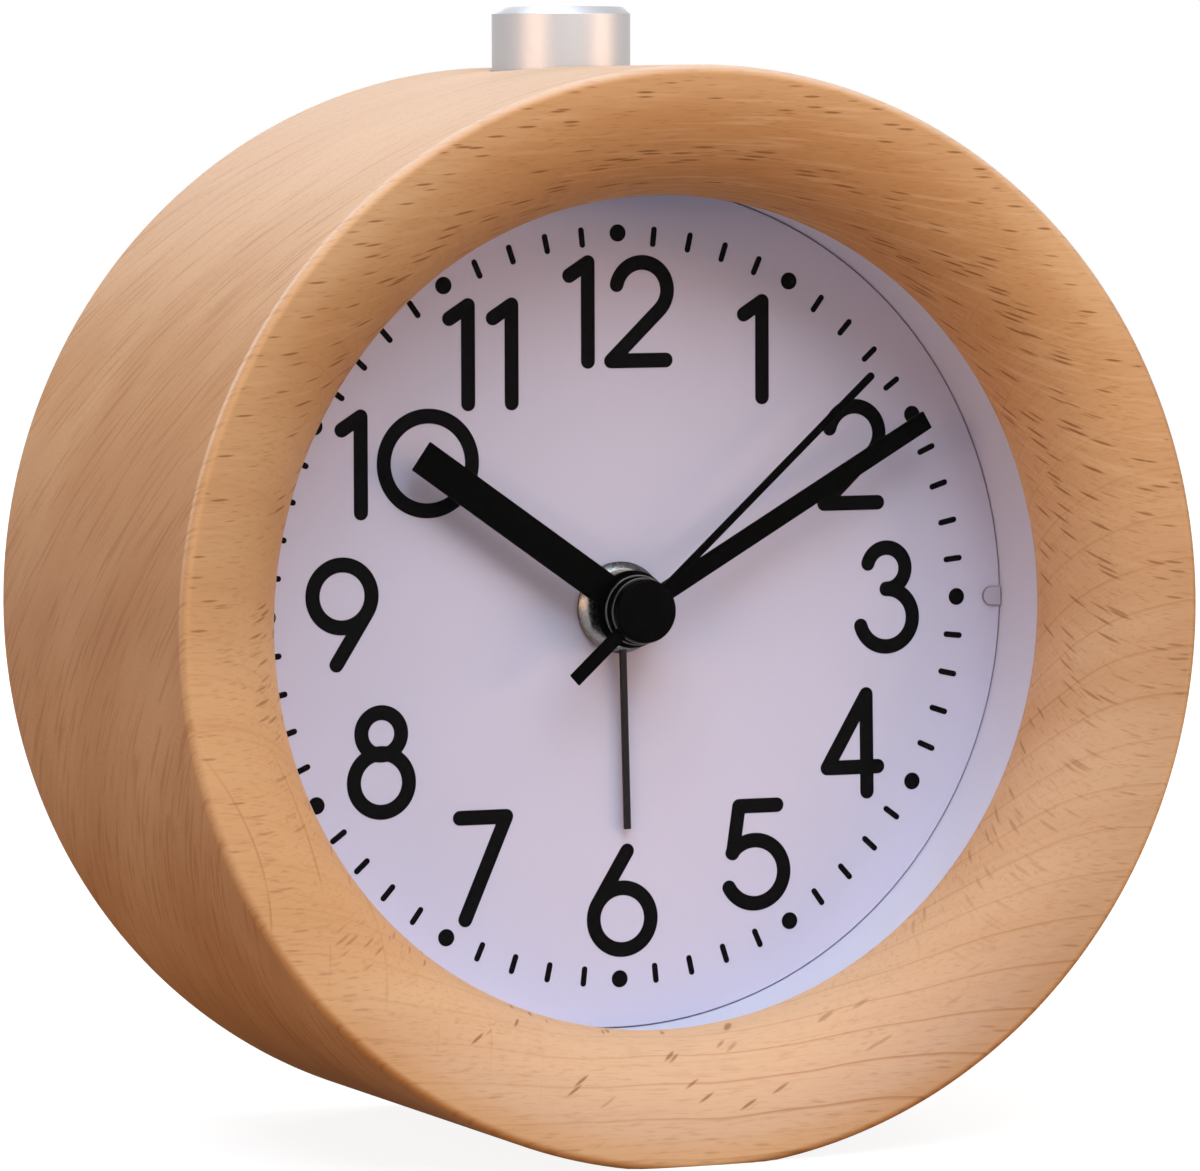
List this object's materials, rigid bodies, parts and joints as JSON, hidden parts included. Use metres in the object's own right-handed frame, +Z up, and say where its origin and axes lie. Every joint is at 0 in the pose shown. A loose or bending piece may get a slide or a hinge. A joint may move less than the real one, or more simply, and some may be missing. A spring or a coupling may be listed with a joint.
{
  "type": "alarm clock",
  "caption": "Round turned wooden alarm clock with a recessed white dial, black numerals and hands, a sprung snooze button on top and set knobs and a battery door at the rear.",
  "frame": {"origin": "bottom centre of the bounding box, in the middle of the standing flat under the case", "axes": "+Z up, the dial faces -Y, +X is to the right seen from the front"},
  "size_m": [0.1, 0.0506, 0.1051],
  "materials": {
    "wood": "satin oiled beech",
    "clear_plastic": "clear, polished",
    "dial_white": "matte printed card",
    "white_plastic": "matte",
    "black_metal": "semi-gloss black",
    "black_plastic": "fine spark texture",
    "nickel": "nickel plated",
    "satin_silver": "satin",
    "steel": "bright zinc",
    "brass": "polished",
    "gear_plastic": "natural acetal",
    "copper": "enamelled wire",
    "board_green": "solder mask",
    "cell_sleeve": "printed sleeve"
  },
  "bodies": {
    "case": {"wood_case": "wood", "lens": "clear_plastic", "dial": "dial_white", "dial_frame": "white_plastic", "movement_plate": "gear_plastic", "movement_screw_1": "steel", "movement_screw_2": "steel", "movement_screw_3": "steel", "movement_screw_4": "steel", "snooze_guide": "white_plastic", "snooze_spring": "steel", "snooze_contact": "brass", "circuit_board": "board_green", "chip": "black_plastic", "quartz_crystal": "steel", "buzzer": "black_plastic", "stator": "steel", "coil_core": "steel", "coil_bobbin": "white_plastic", "coil_winding": "copper", "rear_cover": "black_plastic", "cover_screw_1": "steel", "cover_screw_2": "steel", "cover_screw_3": "steel", "cover_screw_4": "steel", "battery_tray": "black_plastic", "battery_cell": "cell_sleeve", "battery_contact_positive": "nickel", "battery_contact_negative": "nickel", "alarm_switch_body": "steel"},
    "second": {"second_hand": "black_metal", "second_cap": "black_metal", "second_wheel": "gear_plastic"},
    "minute": {"minute_hand": "black_metal", "centre_wheel": "brass"},
    "hour": {"hour_hand": "black_metal", "hour_wheel": "gear_plastic"},
    "third": {"third_wheel": "gear_plastic"},
    "intermediate": {"intermediate_wheel": "gear_plastic"},
    "rotor": {"rotor_pinion": "gear_plastic", "rotor_magnet": "steel"},
    "time_set": {"minute_wheel": "gear_plastic", "time_set_knob": "black_plastic"},
    "alarm": {"alarm_hand": "nickel", "alarm_wheel": "gear_plastic"},
    "alarm_set": {"alarm_set_wheel": "gear_plastic", "alarm_set_knob": "black_plastic"},
    "snooze": {"snooze_button": "satin_silver", "snooze_clip": "steel"},
    "alarm_switch": {"alarm_switch_slider": "black_plastic"},
    "door": {"battery_door": "black_plastic"}
  },
  "joints": [
    {"name": "second_spin", "type": "hinge", "parent": "case", "child": "second", "pos_m": [0, 0, 0.0495], "axis": [0, 1, 0], "continuous": true},
    {"name": "minute_spin", "type": "hinge", "parent": "case", "child": "minute", "pos_m": [0, 0, 0.0495], "axis": [0, 1, 0], "continuous": true},
    {"name": "hour_spin", "type": "hinge", "parent": "case", "child": "hour", "pos_m": [0, 0, 0.0495], "axis": [0, 1, 0], "continuous": true},
    {"name": "third_spin", "type": "hinge", "parent": "case", "child": "third", "pos_m": [-0.00637, 0, 0.06054], "axis": [0, 1, 0], "continuous": true},
    {"name": "intermediate_spin", "type": "hinge", "parent": "case", "child": "intermediate", "pos_m": [0.00631, 0, 0.06042], "axis": [0, 1, 0], "continuous": true},
    {"name": "rotor_spin", "type": "hinge", "parent": "case", "child": "rotor", "pos_m": [0.01209, 0, 0.06732], "axis": [0, 1, 0], "continuous": true},
    {"name": "time_set_spin", "type": "hinge", "parent": "case", "child": "time_set", "pos_m": [0.01311, 0, 0.0495], "axis": [0, 1, 0], "continuous": true},
    {"name": "alarm_set_spin", "type": "hinge", "parent": "case", "child": "alarm_set", "pos_m": [-0.0144, 0, 0.0495], "axis": [0, 1, 0], "continuous": true},
    {"name": "alarm_hand_spin", "type": "hinge", "parent": "case", "child": "alarm", "pos_m": [0, 0, 0.0495], "axis": [0, 1, 0], "continuous": true},
    {"name": "snooze_press", "type": "slide", "parent": "case", "child": "snooze", "axis": [0, 0, 1], "range_m": [-0.0015, 0], "stiffness_N_per_m": 300, "springref_m": 0.002, "deforming": ["snooze_spring"]},
    {"name": "alarm_switch_slide", "type": "slide", "parent": "case", "child": "alarm_switch", "axis": [1, 0, 0], "range_m": [0, 0.004]},
    {"name": "battery_door_swing", "type": "hinge", "parent": "case", "child": "door", "pos_m": [0, 0.01625, 0.02184], "axis": [-1, 0, 0], "range_deg": [0, 80]}
  ],
  "couplings": [
    {"joint": "minute_spin", "follows": "second_spin", "ratio": 0.016667},
    {"joint": "hour_spin", "follows": "second_spin", "ratio": 0.0013889},
    {"joint": "third_spin", "follows": "second_spin", "ratio": -0.13333},
    {"joint": "intermediate_spin", "follows": "second_spin", "ratio": -6},
    {"joint": "rotor_spin", "follows": "second_spin", "ratio": 30},
    {"joint": "time_set_spin", "follows": "second_spin", "ratio": -0.0055556},
    {"joint": "alarm_hand_spin", "follows": "alarm_set_spin", "ratio": -0.5}
  ]
}
